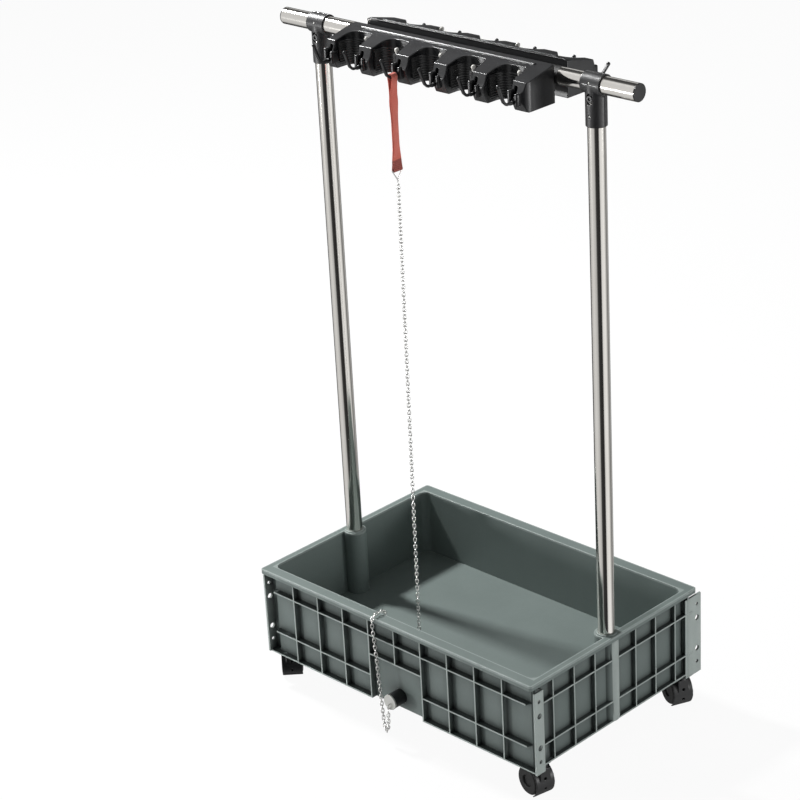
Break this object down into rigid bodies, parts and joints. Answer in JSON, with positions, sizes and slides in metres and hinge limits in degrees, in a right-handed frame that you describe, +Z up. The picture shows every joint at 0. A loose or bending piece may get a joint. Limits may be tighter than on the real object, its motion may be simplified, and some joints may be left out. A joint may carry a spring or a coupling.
{
  "type": "mop rack trolley",
  "caption": "Wheeled mop rack: ribbed drip tub with drain on swivel casters, two posts, cross tube and back-to-back holder rails with sliding grippers and fold-up hooks.",
  "frame": {"origin": "middle of the footprint, on the floor under the wheels", "axes": "+X along the cross tube to the right, +Y to the rear, +Z up; the drain spout is in front at -Y"},
  "size_m": [0.743, 0.446, 1.163],
  "materials": {
    "tub_plastic": "grey-green moulded plastic, satin",
    "black_plastic": "black moulded plastic, semi-gloss",
    "wheel_black": "black nylon, satin",
    "rubber": "black rubber, matt",
    "stainless": "polished stainless steel",
    "zinc": "bright zinc plated steel",
    "black_metal": "black coated steel",
    "strap_webbing": "red woven webbing",
    "chain_steel": "bright steel wire"
  },
  "bodies": {
    "trolley": {"tub": "tub_plastic", "drain_elbow": "black_plastic", "drain_strainer": "zinc", "drain_gasket": "rubber", "cross_tube": "stainless", "tee_bolts": "black_metal", "tee_nuts": "black_metal", "rail_bolts": "zinc", "rail_nuts": "zinc", "caster_sockets": "zinc", "post_left": "stainless", "post_right": "stainless", "end_cap_left": "black_plastic", "end_cap_right": "black_plastic", "tee_front_left": "black_metal", "tee_front_right": "black_metal", "tee_rear_left": "black_metal", "tee_rear_right": "black_metal", "rail_front": "black_plastic", "rail_rear": "black_plastic", "grip_pads_front": "rubber", "grip_pads_rear": "rubber", "hook_pins_front": "zinc", "hook_pins_rear": "zinc", "strap": "strap_webbing", "strap_ring": "chain_steel", "chain": "chain_steel"},
    "stopper": {"stopper": "zinc"},
    "gripper_front_1": {"gripper_front_1": "rubber"},
    "gripper_front_2": {"gripper_front_2": "rubber"},
    "gripper_front_3": {"gripper_front_3": "rubber"},
    "gripper_front_4": {"gripper_front_4": "rubber"},
    "gripper_front_5": {"gripper_front_5": "rubber"},
    "gripper_rear_1": {"gripper_rear_1": "rubber"},
    "gripper_rear_2": {"gripper_rear_2": "rubber"},
    "gripper_rear_3": {"gripper_rear_3": "rubber"},
    "gripper_rear_4": {"gripper_rear_4": "rubber"},
    "gripper_rear_5": {"gripper_rear_5": "rubber"},
    "hook_front_1": {"hook_front_1": "black_plastic"},
    "hook_front_2": {"hook_front_2": "black_plastic"},
    "hook_front_3": {"hook_front_3": "black_plastic"},
    "hook_front_4": {"hook_front_4": "black_plastic"},
    "hook_front_5": {"hook_front_5": "black_plastic"},
    "hook_front_6": {"hook_front_6": "black_plastic"},
    "hook_rear_1": {"hook_rear_1": "black_plastic"},
    "hook_rear_2": {"hook_rear_2": "black_plastic"},
    "hook_rear_3": {"hook_rear_3": "black_plastic"},
    "hook_rear_4": {"hook_rear_4": "black_plastic"},
    "hook_rear_5": {"hook_rear_5": "black_plastic"},
    "hook_rear_6": {"hook_rear_6": "black_plastic"},
    "caster_hood_front_left": {"caster_hood_front_left": "black_plastic"},
    "caster_hood_front_right": {"caster_hood_front_right": "black_plastic"},
    "caster_hood_rear_left": {"caster_hood_rear_left": "black_plastic"},
    "caster_hood_rear_right": {"caster_hood_rear_right": "black_plastic"},
    "caster_wheels_front_left": {"caster_wheels_front_left": "wheel_black"},
    "caster_wheels_front_right": {"caster_wheels_front_right": "wheel_black"},
    "caster_wheels_rear_left": {"caster_wheels_rear_left": "wheel_black"},
    "caster_wheels_rear_right": {"caster_wheels_rear_right": "wheel_black"}
  },
  "joints": [
    {"name": "stopper_pull", "type": "slide", "parent": "trolley", "child": "stopper", "axis": [0, -1, 0], "range_m": [0, 0.02], "deforming": ["chain"]},
    {"name": "gripper_front_1_slide", "type": "slide", "parent": "trolley", "child": "gripper_front_1", "axis": [0.1908, -0.9816, 0], "range_m": [0, 0.018]},
    {"name": "gripper_front_2_slide", "type": "slide", "parent": "trolley", "child": "gripper_front_2", "axis": [0.1908, -0.9816, 0], "range_m": [-0.018, 0]},
    {"name": "gripper_front_3_slide", "type": "slide", "parent": "trolley", "child": "gripper_front_3", "axis": [0.1908, -0.9816, 0], "range_m": [0, 0.018]},
    {"name": "gripper_front_4_slide", "type": "slide", "parent": "trolley", "child": "gripper_front_4", "axis": [0.1908, -0.9816, 0], "range_m": [-0.018, 0]},
    {"name": "gripper_front_5_slide", "type": "slide", "parent": "trolley", "child": "gripper_front_5", "axis": [0.1908, -0.9816, 0], "range_m": [0, 0.018]},
    {"name": "gripper_rear_1_slide", "type": "slide", "parent": "trolley", "child": "gripper_rear_1", "axis": [-0.1908, 0.9816, 0], "range_m": [0, 0.018]},
    {"name": "gripper_rear_2_slide", "type": "slide", "parent": "trolley", "child": "gripper_rear_2", "axis": [-0.1908, 0.9816, 0], "range_m": [-0.018, 0]},
    {"name": "gripper_rear_3_slide", "type": "slide", "parent": "trolley", "child": "gripper_rear_3", "axis": [-0.1908, 0.9816, 0], "range_m": [0, 0.018]},
    {"name": "gripper_rear_4_slide", "type": "slide", "parent": "trolley", "child": "gripper_rear_4", "axis": [-0.1908, 0.9816, 0], "range_m": [-0.018, 0]},
    {"name": "gripper_rear_5_slide", "type": "slide", "parent": "trolley", "child": "gripper_rear_5", "axis": [-0.1908, 0.9816, 0], "range_m": [0, 0.018]},
    {"name": "hook_front_1_fold", "type": "hinge", "parent": "trolley", "child": "hook_front_1", "pos_m": [-0.185, -0.07855, 1.126], "axis": [-1, 0, 0], "range_deg": [-30, 90]},
    {"name": "hook_front_2_fold", "type": "hinge", "parent": "trolley", "child": "hook_front_2", "pos_m": [-0.117, -0.07855, 1.126], "axis": [-1, 0, 0], "range_deg": [-30, 90]},
    {"name": "hook_front_3_fold", "type": "hinge", "parent": "trolley", "child": "hook_front_3", "pos_m": [-0.037, -0.07855, 1.126], "axis": [-1, 0, 0], "range_deg": [-30, 90], "deforming": ["strap", "strap_ring", "chain"]},
    {"name": "hook_front_4_fold", "type": "hinge", "parent": "trolley", "child": "hook_front_4", "pos_m": [0.043, -0.07855, 1.126], "axis": [-1, 0, 0], "range_deg": [-30, 90]},
    {"name": "hook_front_5_fold", "type": "hinge", "parent": "trolley", "child": "hook_front_5", "pos_m": [0.123, -0.07855, 1.126], "axis": [-1, 0, 0], "range_deg": [-30, 90]},
    {"name": "hook_front_6_fold", "type": "hinge", "parent": "trolley", "child": "hook_front_6", "pos_m": [0.202, -0.07855, 1.126], "axis": [-1, 0, 0], "range_deg": [-30, 90]},
    {"name": "hook_rear_1_fold", "type": "hinge", "parent": "trolley", "child": "hook_rear_1", "pos_m": [0.21, 0.07855, 1.126], "axis": [1, 0, 0], "range_deg": [0, 120]},
    {"name": "hook_rear_2_fold", "type": "hinge", "parent": "trolley", "child": "hook_rear_2", "pos_m": [0.142, 0.07855, 1.126], "axis": [1, 0, 0], "range_deg": [0, 120]},
    {"name": "hook_rear_3_fold", "type": "hinge", "parent": "trolley", "child": "hook_rear_3", "pos_m": [0.062, 0.07855, 1.126], "axis": [1, 0, 0], "range_deg": [0, 120]},
    {"name": "hook_rear_4_fold", "type": "hinge", "parent": "trolley", "child": "hook_rear_4", "pos_m": [-0.018, 0.07855, 1.126], "axis": [1, 0, 0], "range_deg": [0, 120]},
    {"name": "hook_rear_5_fold", "type": "hinge", "parent": "trolley", "child": "hook_rear_5", "pos_m": [-0.098, 0.07855, 1.126], "axis": [1, 0, 0], "range_deg": [0, 120]},
    {"name": "hook_rear_6_fold", "type": "hinge", "parent": "trolley", "child": "hook_rear_6", "pos_m": [-0.177, 0.07855, 1.126], "axis": [1, 0, 0], "range_deg": [0, 120]},
    {"name": "caster_front_left_swivel", "type": "hinge", "parent": "trolley", "child": "caster_hood_front_left", "pos_m": [-0.292, -0.168, 0.06], "axis": [0, 0, 1], "continuous": true},
    {"name": "caster_front_left_roll", "type": "hinge", "parent": "caster_hood_front_left", "child": "caster_wheels_front_left", "pos_m": [-0.30495, -0.1555, 0.025], "axis": [-0.6947, -0.7193, 0], "continuous": true},
    {"name": "caster_front_right_swivel", "type": "hinge", "parent": "trolley", "child": "caster_hood_front_right", "pos_m": [0.292, -0.168, 0.06], "axis": [0, 0, 1], "continuous": true},
    {"name": "caster_front_right_roll", "type": "hinge", "parent": "caster_hood_front_right", "child": "caster_wheels_front_right", "pos_m": [0.27439, -0.16426, 0.025], "axis": [-0.2079, -0.9781, 0], "continuous": true},
    {"name": "caster_rear_left_swivel", "type": "hinge", "parent": "trolley", "child": "caster_hood_rear_left", "pos_m": [-0.292, 0.1875, 0.06], "axis": [0, 0, 1], "continuous": true},
    {"name": "caster_rear_left_roll", "type": "hinge", "parent": "caster_hood_rear_left", "child": "caster_wheels_rear_left", "pos_m": [-0.30891, 0.19366, 0.025], "axis": [-0.342, -0.9397, 0], "continuous": true},
    {"name": "caster_rear_right_swivel", "type": "hinge", "parent": "trolley", "child": "caster_hood_rear_right", "pos_m": [0.292, 0.1875, 0.06], "axis": [0, 0, 1], "continuous": true},
    {"name": "caster_rear_right_roll", "type": "hinge", "parent": "caster_hood_rear_right", "child": "caster_wheels_rear_right", "pos_m": [0.27556, 0.19482, 0.025], "axis": [-0.4067, -0.9135, 0], "continuous": true}
  ]
}
